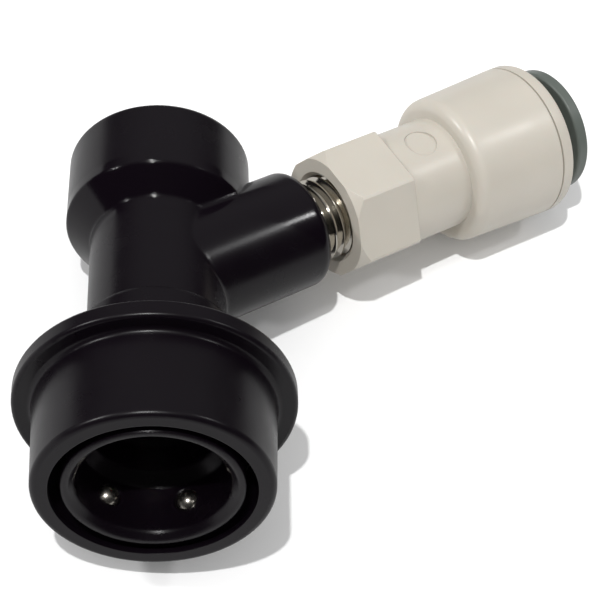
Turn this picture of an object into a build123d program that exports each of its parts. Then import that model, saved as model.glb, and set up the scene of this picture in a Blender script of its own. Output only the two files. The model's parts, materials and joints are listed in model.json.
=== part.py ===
from build123d import *
import os
from math import asin, atan, atan2, cos, degrees, hypot, radians, sin, sqrt

# Ball lock quick disconnect for a keg, with a push-fit tube adapter on its flare outlet.
# It is modelled with the barrel upright: the mouth plane is z = 0 and the barrel axis is +Z.
# The outlet arm leaves towards +X, and distances along it are measured from the barrel axis.
# The last lines lay the finished pieces down in the pose in which the fitting rests on a table.
# All sizes are in millimetres and all angles in degrees.

# Clearances
slide_gap = 0.07
loose_gap = 0.1
seat_gap = 0.03
ball_gap = 0.04
recess_gap = 0.325
throat_gap = 0.3
head_gap = 0.25

# Locking balls
ball_d = 3.175
ball_count = 6
ball_z = 5.3
ball_protrusion = 0.9
ball_free = 0.15

# Body: post socket, seal bore, nose bore and valve port
skirt_end_z = 0.3
socket_r = 9.25
socket_lead = 0.85
socket_over = 0.7125
seal_bore_r = 7.8
seal_bore_l = 5.4
nose_step = 0.5
nose_bore_l = 4.5
web_t = 2.5
port_r = 2.9

# Body: skirt, spring seat, hub, barrel and cup
skirt_wall = 1.68
skirt_edge_r = 0.3
spring_seat_z = 14.3
spring_seat_t = 2.0
hub_step = 0.97
hub_l = 7.9
hub_edge = 0.5
barrel_r = 8.73
barrel_wall = 2.43
cone_z = 40.0
cone_rise = 3.1
cup_flare = 3.22
cup_draft = 0.13
cup_h = 10.55
cup_edge_r = 0.4
cup_wall = 2.35
cap_ledge_rise = 0.5

# Outlet boss on the body
arm_angle = 32.7
arm_root_drop = 7.0
boss_step = 0.78
boss_draft = 0.15
boss_reach = 3.0
boss_edge_r = 1.6
boss_fillet_r = 0.8

# Locking collar
spring_room = 1.77
collar_wall = 2.1
collar_draft = 0.3
collar_lip = 0.56
collar_lip_t = 0.8
land_t = 0.9
flange_reach = 2.5
flange_z = 12.35
flange_t = 2.55
flange_edge_r = 0.55
flange_root_r = 0.7
mouth_edge_r = 0.75
collar_lift = 3.2

# Springs
collar_wire_d = 0.6
collar_turns = 3.5
valve_wire_d = 0.8
valve_spring_r = 3.9
valve_turns = 6.5

# Screw cap and its gasket
cap_sink = 1.25
cap_slot_w = 2.2
cap_slot_d = 2.2
cap_pocket_gap = 0.6
cap_pocket_d = 3.4
gasket_d = 1.8

# Valve
pin_r = 1.6
pin_tip_rise = 0.2
pin_tip_edge = 0.5
poppet_lap = 1.7
poppet_t = 2.6
poppet_seal_t = 1.5
spigot_gap = 0.7
spigot_h = 2.6

# Flare stub with a 7/16 inch thread, drawn at its major diameter
thread_r = 5.556
thread_inset = 1.8
stub_bore_r = 2.4
stub_embed = 6.5
stub_anchor_step = 0.9
stub_anchor_t = 2.6
stub_neck_r = 4.3
stub_engaged = 12.25
nose_wall = 0.7
washer_t = 0.8
washer_inset = 0.45

# Push-fit adapter: hexagon, round middle, shoulder and weld seam
adapter_gap = 3.85
hex_af = 15.9
hex_length = 9.45
hex_turn = 64.0
hex_face_r = 8.1
hex_corner_r = 9.05
hex_cone_l = 1.2
thread_lead = 0.6
middle_r = 8.85
adapter_head_l = 17.2
shoulder_drop = 0.35
shoulder_edge_r = 0.5
adapter_wall = 2.1
seam_edge = 0.2
end_rim = 1.6
end_edge_r = 0.6
dot_r = 2.2
dot_depth = 0.4
dot_back = 4.0

# Tube socket in the adapter
tube_d = 9.53
tube_gap = 0.085
passage_step = 0.2
tube_stop_wall = 0.25
seal_reach = 5.8
seal_groove_w = 2.0
tube_seal_d = 1.8
backing_t = 1.8
retainer_gap = 1.4
retainer_wall = 1.5
throat_cone = 1.6
throat_land = 0.95

# Collet
collet_press = 1.5
collet_float = 0.2
collet_wall = 1.05
collet_head_step = 0.55
collet_head_t = 1.0
head_play = 0.5
collet_stand_off = 0.95
collet_flange_reach = 2.72
collet_flange_t = 1.7
collet_flange_edge = 0.35
collet_slots = 4
collet_slot_w = 0.8
tooth_inset = 0.6
tooth_w = 2.4
tooth_t = 0.3
tooth_depth = 0.55

# Radii and heights on the barrel axis, worked out from the sizes above
ball_r = ball_d / 2
ball_out = ball_protrusion + ball_free
ball_rest_r = socket_r - ball_protrusion + ball_r
socket_end_z = ball_z + ball_r + socket_over
seal_bore_end_z = socket_end_z + seal_bore_l
nose_bore_r = seal_bore_r - nose_step
nose_bore_end_z = seal_bore_end_z + nose_bore_l
web_top_z = nose_bore_end_z + web_t
skirt_r = socket_r + skirt_wall
hub_r = barrel_r + hub_step
hub_top_z = spring_seat_z + spring_seat_t + hub_l
chamber_r = barrel_r - barrel_wall
cup_z = cone_z + cone_rise
cup_low_r = barrel_r + cup_flare
cup_top_r = cup_low_r - cup_draft
top_z = cup_z + cup_h
cap_bore_r = cup_low_r - cup_wall
cap_ledge_z = cup_z + cap_ledge_rise
cap_bottom_z = cap_ledge_z + gasket_d + 2 * seat_gap
cap_top_z = top_z - cap_sink
cap_r = cap_bore_r - loose_gap
gasket_r = (chamber_r + cap_bore_r) / 2
poppet_r = port_r + poppet_lap
poppet_z = web_top_z + poppet_seal_t
poppet_top_z = poppet_z + poppet_t
pin_tip_z = seal_bore_end_z + pin_tip_rise
spigot_r = valve_spring_r - valve_wire_d / 2 - spigot_gap
cap_pocket_r = valve_spring_r + valve_wire_d / 2 + cap_pocket_gap

# Collar sizes that follow the skirt and the balls
collar_cavity_r = skirt_r + spring_room
collar_root_r = collar_cavity_r + collar_wall
collar_mouth_r = collar_root_r - collar_draft
flange_r = collar_root_r + flange_reach
flange_back_z = flange_z + flange_t
spring_seat_r = collar_cavity_r - loose_gap
collar_recess_r = ball_rest_r + ball_r + ball_out + recess_gap
collar_lip_r = collar_recess_r - collar_lip
ramp_slope = ball_out / collar_lift
ramp_r_at_ball = ball_rest_r + (ball_r + ball_gap) / cos(atan(ramp_slope))
ramp_z = ball_z - (collar_recess_r - ramp_r_at_ball) / ramp_slope
land_r = skirt_r + slide_gap
land_z = ramp_z + (collar_recess_r - land_r) / ramp_slope
land_top_z = land_z + land_t

# The outlet arm and the places along it
alpha = radians(arm_angle)
arm_root_z = cone_z - arm_root_drop
arm = Plane(
    origin=(0, 0, arm_root_z),
    x_dir=(-sin(alpha), 0, cos(alpha)),
    z_dir=(cos(alpha), 0, sin(alpha)),
)
arm_section = Plane(origin=arm.origin, x_dir=arm.z_dir, z_dir=(0, -1, 0))
arm_axis = Axis(arm.origin, arm.z_dir)
boss_root_r = barrel_r - boss_step
boss_end_r = boss_root_r - boss_draft
boss_length = (cup_low_r + boss_root_r * sin(alpha)) / cos(alpha) + boss_reach
stub_root_s = boss_length - stub_embed
stub_anchor_r = stub_neck_r + stub_anchor_step
thread_start_s = boss_length - thread_inset
adapter_s = boss_length + adapter_gap
stub_tip_s = adapter_s + stub_engaged
nose_r = stub_bore_r + nose_wall
washer_r = thread_r - washer_inset
washer_shift = washer_t * sqrt(2)
passage_r = stub_bore_r + passage_step
thread_bore_r = thread_r + loose_gap
shoulder_s = adapter_s + adapter_head_l
tube_stop_s = shoulder_s + tube_stop_wall
seal_groove_s = tube_stop_s + seal_reach
backing_s = seal_groove_s + seal_groove_w
retainer_s = backing_s + backing_t + retainer_gap
collet_head_s = backing_s + backing_t + collet_press + collet_float
tooth_s = collet_head_s + tooth_inset
throat_wide_s = collet_head_s + collet_head_t + head_play
throat_s = throat_wide_s + throat_cone
seam_s = throat_s + throat_land
end_s = seam_s + end_rim
collet_flange_s = end_s + collet_press + collet_stand_off
collet_end_s = collet_flange_s + collet_flange_t

# Radii about the arm that follow the tube
tube_bore_r = tube_d / 2 + tube_gap
seal_groove_r = tube_d / 2 + tube_seal_d + 2 * seat_gap
collet_r = tube_bore_r + collet_wall
throat_r = collet_r + throat_gap
collet_head_r = throat_r + collet_head_step
backing_r = collet_head_r + head_gap
retainer_r = backing_r + retainer_wall
seam_r = retainer_r + adapter_wall
shoulder_r = seam_r - shoulder_drop
collet_flange_r = collet_r + collet_flange_reach
dot_side = Plane(arm.offset(shoulder_s - dot_back).location * Rot(Z=hex_turn + 30) * Plane.YZ.location)
dot_plane = dot_side.offset(middle_r - dot_depth)


def cone_s(shift, r):
    """Distance along the arm where the 45 degree nose cone, moved outwards by shift, has radius r."""
    return stub_tip_s + shift + nose_r - r


# Body: one moulding of skirt, spring seat, hub, barrel, cup and outlet boss
with BuildPart() as body:
    with BuildSketch(Plane.XZ):
        with BuildLine():
            Polyline(
                (0, skirt_end_z),
                (skirt_r, skirt_end_z),
                (skirt_r, spring_seat_z),
                (spring_seat_r, spring_seat_z),
                (spring_seat_r, spring_seat_z + spring_seat_t),
                (hub_r, spring_seat_z + spring_seat_t),
                (hub_r, hub_top_z - hub_edge),
                (hub_r - hub_edge, hub_top_z),
                (barrel_r, hub_top_z),
                (barrel_r, cone_z),
                (cup_low_r, cup_z),
                (cup_top_r, top_z),
                (0, top_z),
                close=True,
            )
        make_face()
        fillet(vertices().sort_by_distance((skirt_r, skirt_end_z))[0], skirt_edge_r)
    revolve(axis=Axis.Z)
    fillet(body.edges().filter_by(GeomType.CIRCLE).sort_by(Axis.Z)[-1], cup_edge_r)
    # Tapered outlet boss, blended into the barrel and the cone
    with BuildSketch(arm_section):
        with BuildLine():
            Polyline(
                (0, 0),
                (boss_length, 0),
                (boss_length, boss_end_r),
                (0, boss_root_r),
                close=True,
            )
        make_face()
        fillet(vertices().group_by(Axis.X)[-1].sort_by(Axis.Y)[-1], boss_edge_r)
    revolve(axis=arm_axis)
    junction = body.edges(Select.LAST).filter_by(GeomType.BSPLINE)
    fillet(junction.filter_by_position(Axis.Z, 0, cup_z), boss_fillet_r)
    # Post socket, seal bore, nose bore, valve port, chamber and cap bore
    with BuildSketch(Plane.XZ):
        with BuildLine():
            Polyline(
                (0, 0),
                (socket_r + socket_lead, 0),
                (socket_r + socket_lead, skirt_end_z),
                (socket_r, skirt_end_z + socket_lead),
                (socket_r, socket_end_z),
                (seal_bore_r, socket_end_z + socket_r - seal_bore_r),
                (seal_bore_r, seal_bore_end_z),
                (nose_bore_r, seal_bore_end_z + seal_bore_r - nose_bore_r),
                (nose_bore_r, nose_bore_end_z),
                (port_r, nose_bore_end_z),
                (port_r, web_top_z),
                (chamber_r, web_top_z),
                (chamber_r, cap_ledge_z),
                (cap_bore_r, cap_ledge_z),
                (cap_bore_r, top_z),
                (0, top_z),
                close=True,
            )
        make_face()
    revolve(axis=Axis.Z, mode=Mode.SUBTRACT)
    # Waterway in the arm and the seat that is moulded round the stub
    with BuildSketch(arm_section):
        with BuildLine():
            Polyline(
                (0, 0),
                (boss_length, 0),
                (boss_length, thread_r + seat_gap),
                (thread_start_s - seat_gap, thread_r + seat_gap),
                (thread_start_s - seat_gap, stub_neck_r + seat_gap),
                (stub_root_s + stub_anchor_t + seat_gap, stub_neck_r + seat_gap),
                (stub_root_s + stub_anchor_t + seat_gap, stub_anchor_r + seat_gap),
                (stub_root_s, stub_anchor_r + seat_gap),
                (stub_root_s, stub_bore_r),
                (0, stub_bore_r),
                close=True,
            )
        make_face()
    revolve(axis=arm_axis, mode=Mode.SUBTRACT)
    # Ball pockets, each narrowed at the socket so that its ball cannot fall in
    for turn in range(ball_count):
        pocket = Plane((0, 0, ball_z)).rotated((0, 0, turn * 360 / ball_count)).location
        radial = Plane(pocket * Plane.YZ.location)
        with BuildSketch(radial.offset(ball_rest_r)):
            Circle(ball_r + ball_gap)
        extrude(amount=skirt_r, mode=Mode.SUBTRACT)
        with BuildSketch(radial.offset(ball_rest_r)):
            Circle(ball_r + ball_gap)
        with BuildSketch(radial.offset(socket_r - ball_protrusion)):
            Circle(ball_r * 0.88)
        loft(mode=Mode.SUBTRACT)

# Screw cap in the cup, with a coin slot, and the O-ring under it
with BuildPart() as top_cap:
    with BuildSketch(Plane.XY.offset(cap_bottom_z)):
        Circle(cap_r)
    extrude(amount=cap_top_z - cap_bottom_z)
    chamfer(top_cap.edges().filter_by(GeomType.CIRCLE).sort_by(Axis.Z)[-1], cup_edge_r)
    with BuildSketch(Plane.XY.offset(cap_bottom_z)):
        Circle(cap_pocket_r)
    extrude(amount=cap_pocket_d, mode=Mode.SUBTRACT)
    with BuildSketch(Plane.XY.offset(cap_top_z)):
        Rectangle(2 * cap_r + 1, cap_slot_w)
    extrude(amount=-cap_slot_d, mode=Mode.SUBTRACT)

with BuildPart() as cap_gasket:
    with BuildSketch(Plane.XZ):
        with Locations((gasket_r, cap_ledge_z + seat_gap + gasket_d / 2)):
            Circle(gasket_d / 2)
    revolve(axis=Axis.Z)

# Valve: a pin that the post pushes up, its seal on the web, and its spring under the cap
with BuildPart() as valve_pin:
    with BuildSketch(Plane.XZ):
        with BuildLine():
            Polyline(
                (0, pin_tip_z),
                (pin_r - pin_tip_edge, pin_tip_z),
                (pin_r, pin_tip_z + pin_tip_edge),
                (pin_r, poppet_z),
                (poppet_r, poppet_z),
                (poppet_r, poppet_top_z),
                (spigot_r, poppet_top_z),
                (spigot_r, poppet_top_z + spigot_h),
                (0, poppet_top_z + spigot_h),
                close=True,
            )
        make_face()
    revolve(axis=Axis.Z)
    chamfer(valve_pin.edges().filter_by(GeomType.CIRCLE).sort_by(Axis.Z)[-1], pin_tip_edge)

with BuildPart() as poppet_seal:
    with BuildSketch(Plane.XY.offset(web_top_z)):
        Circle(poppet_r)
        Circle(pin_r + seat_gap, mode=Mode.SUBTRACT)
    extrude(amount=poppet_seal_t)


def coil_spring(radius, wire_d, turns, start_z, end_z):
    """Round-wire compression spring between two seats on the barrel axis."""
    rise = end_z - start_z - wire_d - 2 * seat_gap
    with BuildPart() as spring:
        with BuildLine(Plane.XY.offset(start_z + seat_gap + wire_d / 2)) as centre_line:
            Helix(pitch=rise / turns, height=rise, radius=radius)
        with BuildSketch(Plane(centre_line.line @ 0, z_dir=centre_line.line % 0)):
            Circle(wire_d / 2)
        sweep(path=centre_line.line, is_frenet=True)
    return spring


valve_spring = coil_spring(
    valve_spring_r, valve_wire_d, valve_turns, poppet_top_z, cap_bottom_z + cap_pocket_d
)
collar_spring = coil_spring(
    (skirt_r + collar_cavity_r) / 2, collar_wire_d, collar_turns, land_top_z, spring_seat_z
)

# Locking collar: lip, ball ramp, land on the skirt, spring cavity, and the flange that is pulled
with BuildPart() as collar:
    with BuildSketch(Plane.XZ):
        with BuildLine():
            Polyline(
                (collar_lip_r, 0),
                (collar_mouth_r, 0),
                (collar_root_r, flange_z),
                (flange_r, flange_z),
                (flange_r, flange_back_z),
                (collar_cavity_r, flange_back_z),
                (collar_cavity_r, land_top_z),
                (land_r, land_top_z),
                (land_r, land_z),
                (collar_recess_r, ramp_z),
                (collar_recess_r, collar_lip_t),
                (collar_lip_r, collar_lip_t),
                close=True,
            )
        make_face()
        fillet(vertices().group_by(Axis.X)[-1], flange_edge_r)
        fillet(vertices().sort_by_distance((collar_mouth_r, 0))[0], mouth_edge_r)
        fillet(vertices().sort_by_distance((collar_root_r, flange_z))[0], flange_root_r)
    revolve(axis=Axis.Z)

# Locking balls
lock_balls = []
for turn in range(ball_count):
    angle = radians(turn * 360 / ball_count)
    with BuildPart() as lock_ball:
        with Locations((ball_rest_r * cos(angle), ball_rest_r * sin(angle), ball_z)):
            Sphere(ball_r)
    lock_balls.append(lock_ball)

# Flare stub, moulded into the boss by its anchor
with BuildPart() as flare_stub:
    with BuildSketch(arm_section):
        with BuildLine():
            Polyline(
                (stub_root_s + seat_gap, stub_bore_r),
                (stub_root_s + seat_gap, stub_anchor_r),
                (stub_root_s + stub_anchor_t, stub_anchor_r),
                (stub_root_s + stub_anchor_t, stub_neck_r),
                (thread_start_s, stub_neck_r),
                (thread_start_s, thread_r),
                (cone_s(0, thread_r), thread_r),
                (stub_tip_s, nose_r),
                (stub_tip_s, stub_bore_r),
                close=True,
            )
        make_face()
    revolve(axis=arm_axis)

# Nylon cone washer between the flare nose and the adapter's seat
with BuildPart() as flare_washer:
    with BuildSketch(arm_section):
        with BuildLine():
            Polyline(
                (cone_s(seat_gap, washer_r), washer_r),
                (cone_s(seat_gap, nose_r), nose_r),
                (cone_s(seat_gap, nose_r), passage_r),
                (cone_s(seat_gap + washer_shift, passage_r), passage_r),
                (cone_s(seat_gap + washer_shift, washer_r), washer_r),
                close=True,
            )
        make_face()
    revolve(axis=arm_axis)

# Adapter body: hexagon, round middle with a small round recess, and the tube barrel
with BuildPart() as adapter_body:
    with BuildSketch(arm.offset(adapter_s)):
        RegularPolygon(hex_af / 2, 6, major_radius=False, rotation=hex_turn)
    extrude(amount=hex_length)
    with BuildSketch(arm_section):
        with BuildLine():
            Polyline(
                (adapter_s, 0),
                (adapter_s, hex_face_r),
                (adapter_s + hex_cone_l, hex_corner_r),
                (adapter_s + hex_length, hex_corner_r),
                (adapter_s + hex_length, 0),
                close=True,
            )
        make_face()
    revolve(axis=arm_axis, mode=Mode.INTERSECT)
    with BuildSketch(arm_section):
        with BuildLine():
            Polyline(
                (adapter_s + hex_length, 0),
                (adapter_s + hex_length, middle_r),
                (shoulder_s, middle_r),
                (shoulder_s, shoulder_r),
                (seam_s - seam_edge, seam_r),
                (seam_s, seam_r - seam_edge),
                (seam_s, 0),
                close=True,
            )
        make_face()
        fillet(vertices().sort_by_distance((shoulder_s, shoulder_r))[0], shoulder_edge_r)
    revolve(axis=arm_axis)
    with BuildSketch(dot_plane):
        Circle(dot_r)
    extrude(amount=dot_depth, mode=Mode.SUBTRACT)
    with BuildSketch(arm_section):
        with BuildLine():
            Polyline(
                (adapter_s, 0),
                (adapter_s, thread_bore_r + thread_lead),
                (adapter_s + thread_lead, thread_bore_r),
                (cone_s(washer_shift + 2 * seat_gap, thread_bore_r), thread_bore_r),
                (cone_s(washer_shift + 2 * seat_gap, passage_r), passage_r),
                (tube_stop_s, passage_r),
                (tube_stop_s, tube_bore_r),
                (seal_groove_s, tube_bore_r),
                (seal_groove_s, seal_groove_r),
                (backing_s, seal_groove_r),
                (backing_s, backing_r + loose_gap),
                (retainer_s, backing_r + loose_gap),
                (retainer_s, retainer_r + seat_gap),
                (seam_s, retainer_r + seat_gap),
                (seam_s, 0),
                close=True,
            )
        make_face()
    revolve(axis=arm_axis, mode=Mode.SUBTRACT)

# End cap welded on the barrel, with the throat that closes the collet
with BuildPart() as end_cap:
    with BuildSketch(arm_section):
        with BuildLine():
            Polyline(
                (retainer_s, backing_r),
                (retainer_s, retainer_r),
                (seam_s, retainer_r),
                (seam_s, seam_r - seam_edge),
                (seam_s + seam_edge, seam_r),
                (end_s, seam_r),
                (end_s, throat_r),
                (throat_s, throat_r),
                (throat_wide_s, backing_r),
                close=True,
            )
        make_face()
        fillet(vertices().sort_by_distance((end_s, seam_r))[0], end_edge_r)
    revolve(axis=arm_axis)

# Tube seal and the ring behind it
with BuildPart() as tube_seal:
    with BuildSketch(arm_section):
        with Locations((seal_groove_s + seal_groove_w / 2, tube_d / 2 + seat_gap + tube_seal_d / 2)):
            Circle(tube_seal_d / 2)
    revolve(axis=arm_axis)

with BuildPart() as backing_ring:
    with BuildSketch(arm.offset(backing_s)):
        Circle(backing_r)
        Circle(tube_bore_r, mode=Mode.SUBTRACT)
    extrude(amount=backing_t)

# Collet: flange, sleeve and slotted head, and the steel teeth set in its fingers
with BuildPart() as collet:
    with BuildSketch(arm_section):
        with BuildLine():
            Polyline(
                (collet_head_s, tube_bore_r),
                (collet_head_s, collet_head_r),
                (collet_head_s + collet_head_t, collet_head_r),
                (collet_head_s + collet_head_t + collet_head_r - collet_r, collet_r),
                (collet_flange_s, collet_r),
                (collet_flange_s, collet_flange_r),
                (collet_end_s, collet_flange_r),
                (collet_end_s, tube_bore_r),
                close=True,
            )
        make_face()
        fillet(vertices().group_by(Axis.Y)[-1], collet_flange_edge)
    revolve(axis=arm_axis)
    with BuildSketch(arm_section):
        with Locations((tooth_s + tooth_t / 2, tube_bore_r)):
            Rectangle(tooth_t, 2 * tooth_depth)
    revolve(axis=arm_axis, mode=Mode.SUBTRACT)
    for turn in range(collet_slots // 2):
        with BuildSketch(arm.rotated((0, 0, turn * 360 / collet_slots)).offset(collet_head_s)):
            Rectangle(3 * collet_head_r, collet_slot_w)
        extrude(amount=end_s - collet_head_s, mode=Mode.SUBTRACT)

with BuildPart() as collet_teeth:
    with BuildSketch(arm.offset(tooth_s + seat_gap)):
        with PolarLocations(tube_bore_r, collet_slots, start_angle=180 / collet_slots):
            Rectangle(4 * tooth_depth, tooth_w)
        Circle(tube_bore_r + tooth_depth - seat_gap, mode=Mode.INTERSECT)
        Circle(tube_d / 2 + seat_gap, mode=Mode.SUBTRACT)
    extrude(amount=tooth_t - 2 * seat_gap)

# The fitting rests on the flange's back edge, the cup's rim and the end cap's outer edge.
# The first two set how far the cup end dips, and the third how far the fitting rolls.
flange_edge_z = flange_back_z - flange_edge_r
cup_edge_z = top_z - cup_edge_r
drop = (flange_r - flange_edge_r) - (cup_top_r - cup_edge_r)
run = cup_edge_z - flange_edge_z
dip = atan2(drop, run) + asin((flange_edge_r - cup_edge_r) / hypot(drop, run))
axis_height = flange_edge_z * sin(dip) + (flange_r - flange_edge_r) * cos(dip) + flange_edge_r
end_edge = arm.from_local_coords((0, 0, end_s - end_edge_r))
roll_sine = 0
for _ in range(20):
    slant = cos(alpha) * cos(dip) * roll_sine + sin(alpha) * sin(dip)
    reach = (seam_r - end_edge_r) * sqrt(1 - slant**2) + end_edge_r
    roll_sine = (axis_height - reach - end_edge.Z * sin(dip)) / (end_edge.X * cos(dip))
roll = asin(roll_sine)
lying = Rot(X=-90 - degrees(dip)) * Rot(Z=degrees(roll))

pieces = {
    "body": body,
    "top_cap": top_cap,
    "cap_gasket": cap_gasket,
    "valve_pin": valve_pin,
    "poppet_seal": poppet_seal,
    "valve_spring": valve_spring,
    "collar": collar,
    "collar_spring": collar_spring,
    "flare_stub": flare_stub,
    "flare_washer": flare_washer,
    "adapter_body": adapter_body,
    "end_cap": end_cap,
    "tube_seal": tube_seal,
    "backing_ring": backing_ring,
    "collet": collet,
    "collet_teeth": collet_teeth,
}
for number, lock_ball in enumerate(lock_balls, start=1):
    pieces[f"lock_ball_{number}"] = lock_ball

# Centre the lying fitting over the origin, with its lowest point on the plane z = 0
outside = Compound([lying * piece.part for piece in (body, collar, adapter_body, end_cap, collet)])
bounds = outside.bounding_box()
rest = Pos(-bounds.center().X, -bounds.center().Y, -bounds.min.Z) * lying

os.makedirs("parts", exist_ok=True)
for name, piece in pieces.items():
    piece.part.label = name
    export_step(rest * piece.part, f"parts/{name}.step")
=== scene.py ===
"""Looks of a ball lock disconnect with a push-fit tube adapter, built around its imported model."""

import json
from math import cos, radians, sin

import bpy
from bpy.props import (
    FloatProperty,
    FloatVectorProperty,
    IntProperty,
    PointerProperty,
    StringProperty,
)
from mathutils import Matrix, Quaternion, Vector


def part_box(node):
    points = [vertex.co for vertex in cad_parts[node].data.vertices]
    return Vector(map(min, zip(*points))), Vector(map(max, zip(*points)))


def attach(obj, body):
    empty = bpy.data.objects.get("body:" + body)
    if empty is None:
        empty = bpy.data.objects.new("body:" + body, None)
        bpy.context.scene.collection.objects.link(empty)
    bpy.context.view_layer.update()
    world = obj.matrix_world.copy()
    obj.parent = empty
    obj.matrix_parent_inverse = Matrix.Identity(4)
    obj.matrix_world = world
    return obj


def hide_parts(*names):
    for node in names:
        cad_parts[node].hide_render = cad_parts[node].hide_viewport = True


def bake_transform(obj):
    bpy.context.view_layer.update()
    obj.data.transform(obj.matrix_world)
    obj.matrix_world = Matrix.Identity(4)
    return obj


bl_info = {
    "name": "Ball lock disconnect",
    "version": (1, 0, 0),
    "blender": (4, 5, 0),
    "location": "View3D > Sidebar > Disconnect",
    "description": "Dresses the packed disconnect with moulded plastic, steel, threads and springs",
    "category": "Object",
}

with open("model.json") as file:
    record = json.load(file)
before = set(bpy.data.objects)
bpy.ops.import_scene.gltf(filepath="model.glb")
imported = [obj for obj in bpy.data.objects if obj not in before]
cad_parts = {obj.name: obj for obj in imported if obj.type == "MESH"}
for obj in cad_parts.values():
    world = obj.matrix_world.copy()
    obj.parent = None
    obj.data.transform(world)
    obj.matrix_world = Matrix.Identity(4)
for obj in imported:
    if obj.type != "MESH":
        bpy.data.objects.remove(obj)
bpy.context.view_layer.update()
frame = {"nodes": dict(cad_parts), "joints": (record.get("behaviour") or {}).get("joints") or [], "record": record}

MM = 0.001

# Along the barrel, from the mouth
SEAL_BORE_MIDDLE = 11.025 * MM
CONE_MIDDLE = 41.5 * MM
CONE_HALF_HEIGHT = 2.7 * MM
CONE_FADE_HEIGHT = 1.3 * CONE_HALF_HEIGHT

# Along the arm, from the barrel's axis, and radii about the arm, as in the solids
STUB_BORE_R = 2.4 * MM
STUB_ANCHOR = 15.83 * MM
STUB_ANCHOR_R = 5.2 * MM
STUB_NECK = 18.4 * MM
STUB_NECK_R = 4.3 * MM
STUB_SCREW = 20.5 * MM
STUB_NOSE = 36.6 * MM
STUB_NOSE_R = 3.1 * MM
STUB_TIP = 38.4 * MM

ADAPTER_FACE = 26.15 * MM
FACE_R = 8.1 * MM
FACE_CONE = 1.2 * MM
HEXAGON_R = 9.05 * MM
HEXAGON_END = 35.6 * MM
THREAD_BORE_R = 5.656 * MM
THREAD_LEAD = 0.6 * MM
THREAD_BORE_END = 37.04 * MM
PASSAGE = 40.1 * MM
PASSAGE_R = 2.6 * MM
TUBE_STOP = 43.6 * MM
TUBE_BORE_R = 4.85 * MM
TUBE_BORE_MIDDLE = 46.5 * MM
SEAL_GROOVE = 49.4 * MM
SEAL_GROOVE_R = 6.625 * MM
BACKING = 51.4 * MM
BACKING_BORE_R = 7.1 * MM

CAP_SLEEVE = 54.6 * MM
CAP_SLEEVE_R = 8.5 * MM
CAP_SLEEVE_GAP = 0.03 * MM
CAP_BORE_R = 7.0 * MM
THROAT_WIDE = 56.4 * MM
THROAT = 58.0 * MM
THROAT_R = 6.2 * MM
CAP_END = 60.55 * MM
CAP_EDGE = 0.6 * MM

# Section of the thread's ridge: shares of the pitch, and of the depth that its foot reaches
RIDGE_FOOT = 0.88
RIDGE_CREST = 0.14
RIDGE_SINK = 1.04

# Tools for the meshes; a hexagon's flat spans twice HALF_FLAT
HALF_FLAT = radians(30)
SLEEVE_R = 14 * MM
OVERCUT = 1 * MM
MERGE_DISTANCE = 0.002 * MM
LARGE_FACE_WEIGHT = 60
SCREW_STEPS = 64

# Sizes in the materials
FLOW_SIZE = 9 * MM
MARK_SIZE = 4 * MM
GRAIN_HEIGHT = 0.02 * MM
TOOL_LINE_HEIGHT = 0.01 * MM
LIGHT_DEPTH = 0.6 * MM
POLISHED_ROUGHNESS = 0.13
ACETAL_IOR = 1.48
# Most of a noise texture lies between these values
NOISE_LOW, NOISE_HIGH = 0.3, 0.7

# The panel overhead: its direction, and the cosines to that direction where it starts and is full
PANEL_DIRECTION = (0.0, 0.45, 0.89)
PANEL_EDGE, PANEL_CORE = 0.35, 0.95
SENSOR_WIDTH = 36
NEAREST_VIEW = 0.01


def placed(x_dir, z_dir, origin):
    """Matrix that carries a piece modelled along +Z on to an axis of the fitting."""
    y_dir = z_dir.cross(x_dir).normalized()
    x_dir = y_dir.cross(z_dir)
    turn = Matrix((x_dir, y_dir, z_dir)).transposed().to_4x4()
    return Matrix.Translation(origin) @ turn


# The arm's own frame has its origin on the barrel's axis, +Z out along the arm and +X in the
# plane of the barrel and the arm, on the cup's side
record = frame["record"]
joint_axes = {joint["name"]: Vector(joint["axis"]) for joint in frame["joints"]}
mounts = {mount["name"]: Vector(mount["pos_m"]) for mount in record["mounts"]}
barrel_dir = joint_axes["collar_lift"]
arm_dir = -joint_axes["collet_press"]
mouth = mounts["post_seal_bore"] - SEAL_BORE_MIDDLE * barrel_dir
arm_root = mounts["tube_socket"] - TUBE_BORE_MIDDLE * arm_dir
arm = placed(barrel_dir - barrel_dir.dot(arm_dir) * arm_dir, arm_dir, arm_root)


# Properties

def length(name, description, millimetres):
    """A length that the panel shows."""
    return FloatProperty(
        name=name, description=description, default=millimetres * MM, unit="LENGTH", precision=5
    )


def angle(name, description, degrees):
    """An angle that the panel shows."""
    return FloatProperty(
        name=name, description=description, default=radians(degrees), subtype="ANGLE"
    )


def strength(name, description, value):
    """A brightness or power that the panel shows."""
    return FloatProperty(name=name, description=description, default=value)


def point(name, description, metres):
    """A place that the panel shows."""
    return FloatVectorProperty(
        name=name, description=description, default=metres, subtype="TRANSLATION", precision=5
    )


def colour(name, description, hex_colour):
    """A colour that the panel shows, as an sRGB hex value."""
    return StringProperty(name=name, description=description, default=hex_colour)


class DisconnectThread(bpy.types.PropertyGroup):
    """Sizes of the 7/16 inch flare thread on the stub"""

    major_r: length("Major radius", "Radius over the thread's crests", 5.556)
    pitch: length("Pitch", "Distance between crests, at 20 threads to the inch", 1.27)
    depth: length("Depth", "Height of the crests over the roots", 0.72)
    start: length("Start", "Where the thread starts along the arm", 20.95)
    turns: IntProperty(
        name="Turns", description="Number of turns of the thread", default=11, min=1
    )


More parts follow.
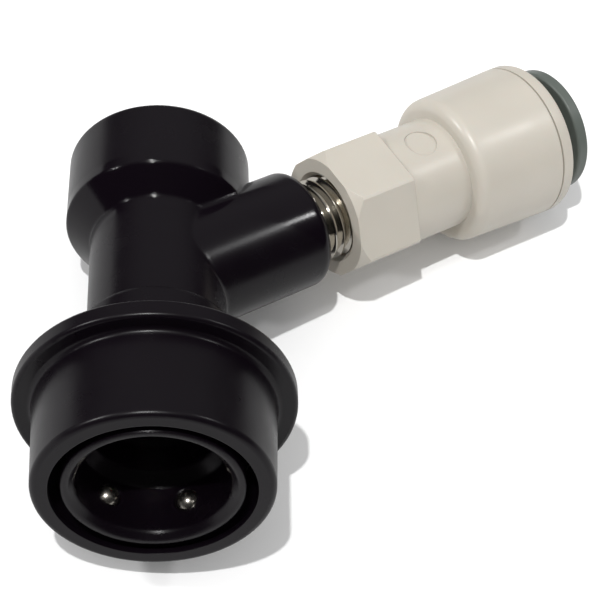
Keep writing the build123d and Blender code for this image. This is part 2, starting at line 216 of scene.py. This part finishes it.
class DisconnectAdapter(bpy.types.PropertyGroup):
    """Sizes of the outside of the adapter and its end cap, whose bores follow the solids"""

    across_flats: length("Across flats", "Width of the hexagon for a 5/8 inch spanner", 15.9)
    hexagon_turn: angle("Hexagon turn", "From the plane of barrel and arm to a corner", 64)
    middle_r: length("Middle radius", "Radius of the round middle, just inside the flats", 7.7)
    shoulder: length("Shoulder", "Where the tube barrel starts along the arm", 44.9)
    shoulder_r: length("Shoulder radius", "Radius of the tube barrel at its shoulder", 10.15)
    rounding: length("Shoulder rounding", "Radius of the shoulder's rounded edge", 1.5)
    seam: length("Seam", "Where the cap is welded on, along the arm", 58.4)
    seam_gap: length("Seam width", "Width of the groove that the weld leaves", 0.28)
    seam_r: length("Seam radius", "Radius at the floor of that groove", 10.25)
    cap_r: length("Cap radius", "Radius of the cap and of the barrel next to it", 10.6)
    recess: length("Recess place", "Where the round recess lies along the arm", 40.45)
    recess_r: length("Recess radius", "Radius of the shallow round recess in the middle", 2.2)
    recess_depth: length("Recess depth", "Depth of that recess", 0.4)
    recess_turn: angle("Recess turn", "From the plane of barrel and arm to the recess", 90)


class DisconnectColours(bpy.types.PropertyGroup):
    """Colours of the materials"""

    black: colour("Black acetal", "Body, collar and screw cap", "#0c070d")
    light_grey: colour("Light grey acetal", "Adapter and its end cap", "#beb8ad")
    green_grey: colour("Green-grey acetal", "Collet", "#5a605b")
    steel: colour("Stainless steel", "Flare stub, balls, springs and teeth", "#c3beb4")
    nylon: colour("Natural nylon", "Valve pin, washer and backing ring", "#e9e6dc")
    rubber: colour("Black rubber", "Seals", "#121212")
    paper: colour("Paper", "The sheet that the fitting lies on", "#fafafa")
    paper_shine: colour("Paper in reflections", "The sheet as gloss shows it", "#c6c6c6")


class DisconnectStage(bpy.types.PropertyGroup):
    """Camera, lamps and floor"""

    camera_place: point("Camera", "Where the camera stands", (-0.03925, -0.16066, 0.24301))
    camera_aim: point("Aim", "Point on the floor in the picture's middle", (-0.00021, 0.00557, 0))
    camera_roll: angle("Roll", "Turn of the camera about its own line of sight", 15.48)
    focal_length: FloatProperty(
        name="Focal length", description="In millimetres, on a 36 mm sensor", default=131.2
    )
    key_direction: FloatVectorProperty(
        name="Key direction", description="Way that the key light travels",
        default=(0.226, 0.230, -1.0), subtype="DIRECTION",
    )
    key_strength: strength("Key light", "Strength of the key light", 1.85)
    key_width: angle("Key width", "Width of the key light as the object sees it", 1.4)
    left_place: point("Left lamp", "Where the left lamp stands", (-0.62, 0.02, 0.46))
    left_width: length("Left lamp's width", "Width of its round face", 70)
    left_power: strength("Left lamp's power", "In watts", 1.7)
    right_place: point("Right lamp", "Where the right lamp stands", (0.21, 0.05, 0.30))
    right_width: length("Right lamp's width", "Width of its round face", 30)
    right_power: strength("Right lamp's power", "In watts", 0.15)
    fill_overhead: strength("Fill overhead", "Soft light from straight above", 0.81)
    fill_level: strength("Fill at eye level", "Soft light from the sides", 0.18)
    panel_shine: strength("Panel in reflections", "Brightness of the panel in gloss", 0.36)
    room_shine: strength("Room in reflections", "Brightness of the room in gloss", 0.02)
    paper_width: length("Paper's width", "Width of the sheet that the fitting lies on", 3000)


class DisconnectSettings(bpy.types.PropertyGroup):
    """All the values of the add-on"""

    thread: PointerProperty(
        type=DisconnectThread, name="Thread", description="Flare thread"
    )
    adapter: PointerProperty(
        type=DisconnectAdapter, name="Adapter", description="Outside of the adapter and its cap"
    )
    colours: PointerProperty(
        type=DisconnectColours, name="Colours", description="Colours of the materials"
    )
    stage: PointerProperty(
        type=DisconnectStage, name="Stage", description="Camera, lamps and floor"
    )


def settings():
    """The values that the panel shows."""
    return bpy.context.scene.disconnect


# Helpers for objects

def deselect_all():
    """Leaves edit mode and selects nothing."""
    if bpy.context.object and bpy.context.object.mode != "OBJECT":
        bpy.ops.object.mode_set(mode="OBJECT")
    bpy.ops.object.select_all(action="DESELECT")


def make_active(piece):
    """Selects piece and nothing else."""
    deselect_all()
    piece.select_set(True)
    bpy.context.view_layer.objects.active = piece


def begin_edit(piece, mode="VERT"):
    """Opens piece in edit mode with everything in it selected."""
    make_active(piece)
    bpy.ops.object.mode_set(mode="EDIT")
    bpy.ops.mesh.select_mode(type=mode)
    bpy.ops.mesh.select_all(action="SELECT")


def end_edit():
    """Goes back to object mode."""
    bpy.ops.object.mode_set(mode="OBJECT")


def apply_modifiers(piece):
    """Applies every modifier on piece, in order."""
    make_active(piece)
    for name in [modifier.name for modifier in piece.modifiers]:
        bpy.ops.object.modifier_apply(modifier=name)


def set_in_place(piece, matrix):
    """Carries a piece modelled about the world's Z axis to its place, its object at the origin."""
    piece.matrix_world = matrix @ piece.matrix_world
    make_active(piece)
    bpy.ops.object.transform_apply(location=True, rotation=True, scale=True)


def smooth(piece, crisp):
    """Smooth shading that follows the large faces, with edges over crisp degrees kept sharp."""
    make_active(piece)
    bpy.ops.object.shade_smooth_by_angle(angle=radians(crisp))
    evened = piece.modifiers.new("Even shading", "WEIGHTED_NORMAL")
    evened.keep_sharp = True
    evened.weight = LARGE_FACE_WEIGHT
    apply_modifiers(piece)


def body_of(node):
    """Name of the body that a CAD node belongs to."""
    bodies = record["behaviour"]["bodies"]
    return next(body for body, members in bodies.items() if node in members)


def give_material(piece, material):
    """Makes material the only one of piece."""
    piece.data.materials.clear()
    piece.data.materials.append(material)


def finish_piece(piece, node, material, crisp=26):
    """Gives piece its material, smooth shading and body, and hides the node it stands for."""
    give_material(piece, material)
    smooth(piece, crisp)
    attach(piece, body_of(node))
    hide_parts(node)


def merged_copy(node, name):
    """A copy of a CAD node as one joined mesh."""
    piece = bpy.data.objects.new(name, frame["nodes"][node].data.copy())
    bpy.context.scene.collection.objects.link(piece)
    begin_edit(piece)
    bpy.ops.mesh.remove_doubles(threshold=MERGE_DISTANCE)
    end_edit()
    bpy.ops.mesh.customdata_custom_splitnormals_clear()
    return piece


def dress(node, material):
    """Gives a CAD node, whose shape stays as packed, its material."""
    for place in frame["nodes"][node].material_slots:
        place.material = material


def turned(name, rings, steps=96):
    """A turned ring or tube about Z: rings are (radius, height), in order round its section."""
    deselect_all()
    radius, height = rings[0]
    bpy.ops.mesh.primitive_circle_add(vertices=steps, radius=radius, location=(0, 0, height))
    piece = bpy.context.object
    piece.name = name
    begin_edit(piece)
    for next_radius, next_height in rings[1:] + rings[:1]:
        bpy.ops.mesh.extrude_edges_move(
            TRANSFORM_OT_translate={"value": (0, 0, next_height - height)}
        )
        scale = next_radius / radius
        bpy.ops.transform.resize(value=(scale, scale, 1))
        radius, height = next_radius, next_height
    bpy.ops.mesh.select_all(action="SELECT")
    bpy.ops.mesh.remove_doubles(threshold=MERGE_DISTANCE)
    bpy.ops.mesh.normals_make_consistent(inside=False)
    end_edit()
    bpy.ops.object.transform_apply(location=True, rotation=False, scale=True)
    return piece


def rounded_edge(radius, face, rounding, steps):
    """Arc from a face out to the side above it, or to the side below where rounding is negative."""
    turns = [radians(90 * step / steps) for step in range(steps + 1)]
    return [
        (radius - abs(rounding) * (1 - sin(turn)), face + rounding * (1 - cos(turn)))
        for turn in turns
    ]


def cut(piece, cutter):
    """Cuts the shape of cutter out of piece and removes cutter."""
    opening = piece.modifiers.new("Cut", "BOOLEAN")
    opening.operation = "DIFFERENCE"
    opening.solver = "EXACT"
    opening.object = cutter
    apply_modifiers(piece)
    bpy.data.objects.remove(cutter)


# Helpers for materials

def linear(hex_colour):
    """Linear RGBA of an sRGB hex value."""
    channels = [int(hex_colour[i:i + 2], 16) / 255 for i in (1, 3, 5)]
    return [c / 12.92 if c <= 0.04045 else ((c + 0.055) / 1.055) ** 2.4 for c in channels] + [1.0]


def add_node(tree, kind, values=None, links=None):
    """Adds a shader node, sets its properties and sockets, and links other outputs into it."""
    node = tree.nodes.new(kind)
    for key, value in (values or {}).items():
        if isinstance(key, str) and hasattr(node, key):
            setattr(node, key, value)
        else:
            node.inputs[key].default_value = value
    for key, output in (links or {}).items():
        tree.links.new(output, node.inputs[key])
    return node


def new_material(name, values):
    """A material whose Principled shader has these socket values, its tree and the shader."""
    material = bpy.data.materials.new(name)
    material.use_nodes = True
    tree = material.node_tree
    shader = tree.nodes["Principled BSDF"]
    for key, value in values.items():
        shader.inputs[key].default_value = value
    return material, tree, shader


def noise(tree, size, detail):
    """Noise with features of about this size, fixed to the piece."""
    place = add_node(tree, "ShaderNodeTexCoord")
    texture = add_node(
        tree, "ShaderNodeTexNoise",
        {"Scale": 1 / size, "Detail": detail},
        {"Vector": place.outputs["Object"]},
    )
    return texture.outputs["Fac"]


def vary_roughness(tree, shader, pattern, low, high):
    """Lets the shader's roughness follow a noise pattern between two values."""
    gloss = add_node(
        tree, "ShaderNodeMapRange",
        {"From Min": NOISE_LOW, "From Max": NOISE_HIGH, "To Min": low, "To Max": high},
        {"Value": pattern},
    )
    tree.links.new(gloss.outputs["Result"], shader.inputs["Roughness"])


def moulded_plastic(
    name, hex_colour, roughness, grain_mm, grain_bump,
    tint=0.04, subsurface=0.0, specular=0.5, edge_mm=0.12,
):
    """Injection-moulded plastic: even colour, soft gloss, fine grain and slightly rounded edges."""
    if name in bpy.data.materials:
        return bpy.data.materials[name]
    base = linear(hex_colour)
    material, tree, shader = new_material(
        name,
        {
            "Base Color": base, "IOR": ACETAL_IOR, "Specular IOR Level": specular,
            "Subsurface Weight": subsurface, "Subsurface Scale": LIGHT_DEPTH,
        },
    )
    # Slow change of colour, as where the melt flowed
    darker = [c * (1 - 2 * tint) for c in base[:3]] + [1.0]
    lighter = [min(1.0, c * (1 + tint)) for c in base[:3]] + [1.0]
    shade = add_node(
        tree, "ShaderNodeMix",
        {"data_type": "RGBA", 6: darker, 7: lighter},
        {0: noise(tree, FLOW_SIZE, 3.0)},
    )
    tree.links.new(shade.outputs[2], shader.inputs["Base Color"])
    # Gloss varies with handling marks a few millimetres across
    vary_roughness(tree, shader, noise(tree, MARK_SIZE, 5.0), 0.88 * roughness, 1.14 * roughness)
    edge = add_node(tree, "ShaderNodeBevel", {"samples": 6, "Radius": edge_mm * MM})
    bump = add_node(
        tree, "ShaderNodeBump",
        {"Strength": grain_bump, "Distance": GRAIN_HEIGHT},
        {"Height": noise(tree, grain_mm * MM, 2.0), "Normal": edge.outputs["Normal"]},
    )
    tree.links.new(bump.outputs["Normal"], shader.inputs["Normal"])
    return material


def worked_steel(name, roughness, line_mm, line_bump):
    """Stainless steel with the fine marks that turning, drawing or polishing leaves."""
    if name in bpy.data.materials:
        return bpy.data.materials[name]
    material, tree, shader = new_material(
        name, {"Base Color": linear(settings().colours.steel), "Metallic": 1.0}
    )
    marks = noise(tree, line_mm * MM, 3.0)
    vary_roughness(tree, shader, marks, 0.8 * roughness, 1.3 * roughness)
    bump = add_node(
        tree, "ShaderNodeBump",
        {"Strength": line_bump, "Distance": TOOL_LINE_HEIGHT},
        {"Height": marks},
    )
    tree.links.new(bump.outputs["Normal"], shader.inputs["Normal"])
    return material


# Materials

def black_acetal():
    """Black acetal, injection moulded: near black with a faint purple cast, satin."""
    return moulded_plastic(
        "Moulded black acetal", settings().colours.black,
        roughness=0.3, grain_mm=0.35, grain_bump=0.2, tint=0.1, specular=0.25,
    )


def body_acetal():
    """Black acetal of the body: satin, but for the cone under the cup, where it is polished."""
    material = moulded_plastic(
        "Black acetal with a polished cone", settings().colours.black,
        roughness=0.25, grain_mm=0.35, grain_bump=0.2, tint=0.1, specular=0.28, edge_mm=0.65,
    )
    tree = material.node_tree
    shader = tree.nodes["Principled BSDF"]
    satin = shader.inputs["Roughness"].links[0].from_socket
    place = add_node(tree, "ShaderNodeTexCoord")
    along = add_node(
        tree, "ShaderNodeVectorMath",
        {"operation": "DOT_PRODUCT", 1: barrel_dir},
        {0: place.outputs["Object"]},
    )
    above = add_node(
        tree, "ShaderNodeMath",
        {"operation": "SUBTRACT", 1: CONE_MIDDLE + mouth.dot(barrel_dir)},
        {0: along.outputs["Value"]},
    )
    distance = add_node(
        tree, "ShaderNodeMath", {"operation": "ABSOLUTE"}, {0: above.outputs["Value"]}
    )
    gloss = add_node(
        tree, "ShaderNodeMapRange",
        {
            "interpolation_type": "SMOOTHSTEP", "From Min": CONE_HALF_HEIGHT,
            "From Max": CONE_FADE_HEIGHT, "To Min": POLISHED_ROUGHNESS,
        },
        {"Value": distance.outputs["Value"], "To Max": satin},
    )
    tree.links.new(gloss.outputs["Result"], shader.inputs["Roughness"])
    return material


def light_grey_acetal():
    """Light grey acetal, injection moulded: warm grey, satin, with a faintly uneven skin."""
    return moulded_plastic(
        "Moulded light grey acetal", settings().colours.light_grey,
        roughness=0.34, grain_mm=0.7, grain_bump=0.2, subsurface=0.05, specular=0.6,
    )


def green_grey_acetal():
    """Green-grey acetal, injection moulded: the darker, cooler collet."""
    return moulded_plastic(
        "Moulded green-grey acetal", settings().colours.green_grey,
        roughness=0.36, grain_mm=0.3, grain_bump=0.25,
    )


def natural_nylon():
    """Natural nylon: milky and slightly see-through, so light spreads inside it."""
    return moulded_plastic(
        "Natural nylon", settings().colours.nylon,
        roughness=0.4, grain_mm=0.3, grain_bump=0.2, subsurface=0.2,
    )


def black_rubber():
    """Nitrile rubber, compression moulded: black and nearly matt."""
    return moulded_plastic(
        "Black nitrile rubber", settings().colours.rubber,
        roughness=0.6, grain_mm=0.12, grain_bump=0.4,
    )


def turned_steel():
    """Turned stainless steel: bright, with the fine lines of the tool."""
    return worked_steel("Turned stainless steel", roughness=0.12, line_mm=0.25, line_bump=0.15)


def drawn_wire():
    """Drawn stainless spring wire: a little duller than the turned steel."""
    return worked_steel("Drawn stainless wire", roughness=0.28, line_mm=0.12, line_bump=0.4)


def polished_ball_steel():
    """Polished stainless steel balls, a little worn: bright, with a soft glint."""
    return worked_steel("Polished stainless balls", roughness=0.24, line_mm=0.8, line_bump=0.05)


def white_paper():
    """White paper: matt, white where the lamps reach it, and a little darker in reflections."""
    colours = settings().colours
    material, tree, shader = new_material(
        "White paper", {"Roughness": 0.9, "Specular IOR Level": 0.2}
    )
    rays = add_node(tree, "ShaderNodeLightPath")
    shade = add_node(
        tree, "ShaderNodeMix",
        {"data_type": "RGBA", 6: linear(colours.paper), 7: linear(colours.paper_shine)},
        {0: rays.outputs["Is Glossy Ray"]},
    )
    tree.links.new(shade.outputs[2], shader.inputs["Base Color"])
    return material


# Pieces

class DISCONNECT_OT_black_mouldings(bpy.types.Operator):
    """Body, locking collar and screw cap in black acetal"""

    bl_idname = "disconnect.black_mouldings"
    bl_label = "Body, collar and cap"

    def execute(self, context):
        dress("body", body_acetal())
        for node in ("collar", "top_cap"):
            dress(node, black_acetal())
        return {"FINISHED"}


def adapter_blank(sizes):
    """The adapter as it is turned, with its bores and a round place for the hexagon."""
    outside = [
        (FACE_R, ADAPTER_FACE),
        (HEXAGON_R, ADAPTER_FACE + FACE_CONE),
        (HEXAGON_R, HEXAGON_END),
        (sizes.middle_r, HEXAGON_END),
        (sizes.middle_r, sizes.shoulder),
        *rounded_edge(sizes.shoulder_r, sizes.shoulder, sizes.rounding, steps=8),
        (sizes.cap_r, sizes.seam),
        (sizes.seam_r, sizes.seam),
    ]
    cap_bore = [
        (CAP_SLEEVE_R + CAP_SLEEVE_GAP, sizes.seam),
        (CAP_SLEEVE_R + CAP_SLEEVE_GAP, CAP_SLEEVE),
        (BACKING_BORE_R, CAP_SLEEVE),
        (BACKING_BORE_R, BACKING),
    ]
    tube_bore = [
        (SEAL_GROOVE_R, BACKING),
        (SEAL_GROOVE_R, SEAL_GROOVE),
        (TUBE_BORE_R, SEAL_GROOVE),
        (TUBE_BORE_R, TUBE_STOP),
        (PASSAGE_R, TUBE_STOP),
        (PASSAGE_R, PASSAGE),
    ]
    thread_bore = [
        (THREAD_BORE_R, THREAD_BORE_END),
        (THREAD_BORE_R, ADAPTER_FACE + THREAD_LEAD),
        (THREAD_BORE_R + THREAD_LEAD, ADAPTER_FACE),
    ]
    return turned("adapter_moulding", outside + cap_bore + tube_bore + thread_bore, steps=128)


def hexagon_sleeve(sizes):
    """Six-sided sleeve that cuts the flats."""
    corner_r = sizes.across_flats / 2 / cos(HALF_FLAT)
    front, back = ADAPTER_FACE - OVERCUT, HEXAGON_END + OVERCUT
    sleeve = turned(
        "flats",
        [(corner_r, front), (SLEEVE_R, front), (SLEEVE_R, back), (corner_r, back)],
        steps=6,
    )
    # A circle of six steps has a corner half a flat away from +X
    set_in_place(sleeve, Matrix.Rotation(sizes.hexagon_turn - HALF_FLAT, 4, "Z"))
    return sleeve


def recess_plug(sizes):
    """Round plug that cuts the recess, half of it in the adapter."""
    deselect_all()
    bpy.ops.mesh.primitive_cylinder_add(
        vertices=64, radius=sizes.recess_r, depth=2 * sizes.recess_depth,
        location=(sizes.middle_r, 0, sizes.recess), rotation=(0, radians(90), 0),
    )
    plug = bpy.context.object
    set_in_place(plug, Matrix.Rotation(sizes.recess_turn, 4, "Z"))
    return plug


def end_cap(sizes):
    """The cap that is welded on the adapter, with the throat that closes the collet."""
    weld = sizes.seam + sizes.seam_gap
    return turned(
        "end_cap_moulding",
        [
            (CAP_SLEEVE_R, sizes.seam),
            (sizes.seam_r, sizes.seam),
            (sizes.seam_r, weld),
            (sizes.cap_r, weld),
            *reversed(rounded_edge(sizes.cap_r, CAP_END, -CAP_EDGE, steps=2)),
            (THROAT_R, CAP_END),
            (THROAT_R, THROAT),
            (CAP_BORE_R, THROAT_WIDE),
            (CAP_BORE_R, CAP_SLEEVE),
            (CAP_SLEEVE_R, CAP_SLEEVE),
        ],
        steps=128,
    )


class DISCONNECT_OT_adapter(bpy.types.Operator):
    """Adapter body and its welded end cap in light grey acetal"""

    bl_idname = "disconnect.adapter"
    bl_label = "Push-fit adapter"

    def execute(self, context):
        sizes = settings().adapter
        adapter = adapter_blank(sizes)
        cut(adapter, hexagon_sleeve(sizes))
        cut(adapter, recess_plug(sizes))
        for piece, node in ((adapter, "adapter_body"), (end_cap(sizes), "end_cap")):
            set_in_place(piece, arm)
            finish_piece(piece, node, light_grey_acetal())
        return {"FINISHED"}


class DISCONNECT_OT_collet(bpy.types.Operator):
    """Collet in green-grey acetal, with its steel teeth"""

    bl_idname = "disconnect.collet"
    bl_label = "Collet and teeth"

    def execute(self, context):
        dress("collet", green_grey_acetal())
        dress("collet_teeth", drawn_wire())
        return {"FINISHED"}


def stub_blank(sizes):
    """The stub as it is turned, down to the thread's root."""
    root_r = sizes.major_r - sizes.depth
    return turned(
        "flare_stub_turned",
        [
            (STUB_BORE_R, STUB_ANCHOR),
            (STUB_ANCHOR_R, STUB_ANCHOR),
            (STUB_ANCHOR_R, STUB_NECK),
            (STUB_NECK_R, STUB_NECK),
            (STUB_NECK_R, STUB_SCREW),
            (root_r, STUB_SCREW),
            (root_r, STUB_NOSE),
            (STUB_NOSE_R, STUB_TIP),
            (STUB_BORE_R, STUB_TIP),
        ],
    )


def thread_ridge(sizes):
    """The thread's ridge: one section of it, wound up by a Screw modifier and closed."""
    foot_r = sizes.major_r - RIDGE_SINK * sizes.depth
    half_foot = RIDGE_FOOT * sizes.pitch / 2
    half_crest = RIDGE_CREST * sizes.pitch / 2
    section = [
        (foot_r, -half_foot),
        (foot_r, half_foot),
        (sizes.major_r, -half_crest),
        (sizes.major_r, half_crest),
    ]
    deselect_all()
    bpy.ops.mesh.primitive_plane_add(size=1, location=(0, 0, 0))
    ridge = bpy.context.object
    ridge.name = "flare_thread"
    for vertex, (radius, height) in zip(ridge.data.vertices, section):
        vertex.co = (radius, 0, sizes.start + height)
    begin_edit(ridge)
    bpy.ops.mesh.delete(type="ONLY_FACE")
    end_edit()
    screw = ridge.modifiers.new("Thread", "SCREW")
    screw.axis = "Z"
    screw.screw_offset = sizes.pitch
    screw.iterations = sizes.turns
    screw.steps = SCREW_STEPS
    screw.render_steps = SCREW_STEPS
    screw.use_merge_vertices = False
    apply_modifiers(ridge)
    begin_edit(ridge, "EDGE")
    bpy.ops.mesh.select_all(action="DESELECT")
    bpy.ops.mesh.select_non_manifold()
    bpy.ops.mesh.edge_face_add()
    bpy.ops.mesh.select_all(action="SELECT")
    bpy.ops.mesh.normals_make_consistent(inside=False)
    end_edit()
    return ridge


class DISCONNECT_OT_flare_stub(bpy.types.Operator):
    """Flare stub of turned steel with its rolled thread"""

    bl_idname = "disconnect.flare_stub"
    bl_label = "Flare stub"

    def execute(self, context):
        sizes = settings().thread
        stub = stub_blank(sizes)
        ridge = thread_ridge(sizes)
        make_active(stub)
        ridge.select_set(True)
        bpy.ops.object.join()
        set_in_place(stub, arm)
        finish_piece(stub, "flare_stub", turned_steel(), crisp=28)
        return {"FINISHED"}


class DISCONNECT_OT_balls(bpy.types.Operator):
    """Polished locking balls"""

    bl_idname = "disconnect.balls"
    bl_label = "Locking balls"

    def execute(self, context):
        for node in (name for name in frame["nodes"] if name.startswith("lock_ball")):
            low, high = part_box(node)
            deselect_all()
            bpy.ops.mesh.primitive_uv_sphere_add(
                segments=48, ring_count=24,
                radius=(high.x - low.x) / 2, location=(low + high) / 2,
            )
            ball = context.object
            ball.name = node.replace("lock_ball", "steel_ball")
            bpy.ops.object.transform_apply(location=True, rotation=False, scale=True)
            finish_piece(ball, node, polished_ball_steel(), crisp=60)
        return {"FINISHED"}


class DISCONNECT_OT_springs(bpy.types.Operator):
    """Collar spring and valve spring in drawn wire, as joined copies of their solids"""

    bl_idname = "disconnect.springs"
    bl_label = "Springs"

    def execute(self, context):
        for node, name, moving_body in (
            ("collar_spring", "collar_coil", "collar"),
            ("valve_spring", "valve_coil", "valve"),
        ):
            coil = merged_copy(node, name)
            give_material(coil, drawn_wire())
            smooth(coil, crisp=50)
            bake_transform(coil)
            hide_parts(node)
        return {"FINISHED"}


class DISCONNECT_OT_seals(bpy.types.Operator):
    """Seals in rubber; valve pin, washer and backing ring in nylon"""

    bl_idname = "disconnect.seals"
    bl_label = "Valve and seals"

    def execute(self, context):
        for node in ("cap_gasket", "poppet_seal", "tube_seal"):
            seal = merged_copy(node, node + "_rubber")
            finish_piece(seal, node, black_rubber())
        for node in ("valve_pin", "flare_washer", "backing_ring"):
            dress(node, natural_nylon())
        return {"FINISHED"}


# Stage

def add_object(name, data, place, facing):
    """Adds a camera or lamp that stands at place and looks along facing."""
    thing = bpy.data.objects.new(name, data)
    bpy.context.scene.collection.objects.link(thing)
    thing.location = place
    thing.rotation_mode = "QUATERNION"
    thing.rotation_quaternion = facing.to_track_quat("-Z", "Y")
    return thing


def add_lamp(name, place, width, power):
    """Small round lamp that points at the object."""
    data = bpy.data.lights.new(name, "AREA")
    data.shape = "DISK"
    data.size = width
    data.energy = power
    lamp = add_object(name, data, place, -Vector(place))
    lamp.visible_camera = False


def studio(values):
    """White to the camera, soft light from above on matt surfaces, and a panel for gloss."""
    world = bpy.data.worlds.new("studio")
    world.use_nodes = True
    tree = world.node_tree
    background = tree.nodes["Background"]
    background.inputs["Color"].default_value = (1, 1, 1, 1)
    rays = add_node(tree, "ShaderNodeLightPath")
    place = add_node(tree, "ShaderNodeTexCoord")
    # The panel is overhead and behind the object, and fades out towards the camera's side
    facing = add_node(
        tree, "ShaderNodeVectorMath",
        {"operation": "DOT_PRODUCT", 1: PANEL_DIRECTION},
        {0: place.outputs["Generated"]},
    )
    panel = add_node(
        tree, "ShaderNodeMapRange",
        {
            "interpolation_type": "SMOOTHSTEP", "From Min": PANEL_EDGE, "From Max": PANEL_CORE,
            "To Min": values.room_shine, "To Max": values.panel_shine,
        },
        {"Value": facing.outputs["Value"]},
    )
    height = add_node(tree, "ShaderNodeSeparateXYZ", links={"Vector": place.outputs["Generated"]})
    fill = add_node(
        tree, "ShaderNodeMapRange",
        {"To Min": values.fill_level, "To Max": values.fill_overhead},
        {"Value": height.outputs["Z"]},
    )
    light = add_node(
        tree, "ShaderNodeMix",
        {"data_type": "FLOAT"},
        {0: rays.outputs["Is Glossy Ray"], 2: fill.outputs["Result"], 3: panel.outputs["Result"]},
    )
    seen = add_node(
        tree, "ShaderNodeMix",
        {"data_type": "FLOAT", 3: 1.0},
        {0: rays.outputs["Is Camera Ray"], 2: light.outputs[0]},
    )
    tree.links.new(seen.outputs[0], background.inputs["Strength"])
    return world


class DISCONNECT_OT_stage(bpy.types.Operator):
    """White paper sheet, lamps and camera"""

    bl_idname = "disconnect.stage"
    bl_label = "Stage"

    def execute(self, context):
        values = settings().stage
        scene = context.scene
        scene.view_settings.view_transform = "Standard"

        lens = bpy.data.cameras.new("camera")
        lens.lens = values.focal_length
        lens.sensor_width = SENSOR_WIDTH
        lens.clip_start = NEAREST_VIEW
        place, aim = Vector(values.camera_place), Vector(values.camera_aim)
        camera = add_object("camera", lens, place, aim - place)
        camera.rotation_quaternion @= Quaternion((0, 0, 1), values.camera_roll)
        scene.camera = camera

        key = bpy.data.lights.new("key", "SUN")
        key.energy = values.key_strength
        key.angle = values.key_width
        add_object("key", key, (0, 0, 0), Vector(values.key_direction))
        add_lamp("left_lamp", values.left_place, values.left_width, values.left_power)
        add_lamp("right_lamp", values.right_place, values.right_width, values.right_power)
        scene.world = studio(values)

        deselect_all()
        bpy.ops.mesh.primitive_plane_add(size=values.paper_width, location=(0, 0, 0))
        paper = context.object
        paper.name = "white_table"
        give_material(paper, white_paper())
        return {"FINISHED"}


piece_operators = (
    DISCONNECT_OT_stage,
    DISCONNECT_OT_black_mouldings,
    DISCONNECT_OT_adapter,
    DISCONNECT_OT_collet,
    DISCONNECT_OT_flare_stub,
    DISCONNECT_OT_balls,
    DISCONNECT_OT_springs,
    DISCONNECT_OT_seals,
)


class DISCONNECT_PT_panel(bpy.types.Panel):
    """Lists the pieces and the values they take"""

    bl_label = "Ball lock disconnect"
    bl_idname = "DISCONNECT_PT_panel"
    bl_space_type = "VIEW_3D"
    bl_region_type = "UI"
    bl_category = "Disconnect"

    def draw(self, context):
        for operator in piece_operators:
            self.layout.operator(operator.bl_idname)
        values = settings()
        for group in (values.thread, values.adapter, values.colours, values.stage):
            box = self.layout.box()
            for name in group.bl_rna.properties.keys():
                if name not in ("rna_type", "name"):
                    box.prop(group, name)


classes = (
    DisconnectThread,
    DisconnectAdapter,
    DisconnectColours,
    DisconnectStage,
    DisconnectSettings,
    *piece_operators,
    DISCONNECT_PT_panel,
)


def register():
    for cls in classes:
        bpy.utils.register_class(cls)
    bpy.types.Scene.disconnect = PointerProperty(type=DisconnectSettings)


def unregister():
    del bpy.types.Scene.disconnect
    for cls in reversed(classes):
        bpy.utils.unregister_class(cls)


def main():
    """Makes everything in order."""
    register()
    bpy.ops.disconnect.stage()
    bpy.ops.disconnect.black_mouldings()
    bpy.ops.disconnect.adapter()
    bpy.ops.disconnect.collet()
    bpy.ops.disconnect.flare_stub()
    bpy.ops.disconnect.balls()
    bpy.ops.disconnect.springs()
    bpy.ops.disconnect.seals()


if __name__ == "__main__":
    main()
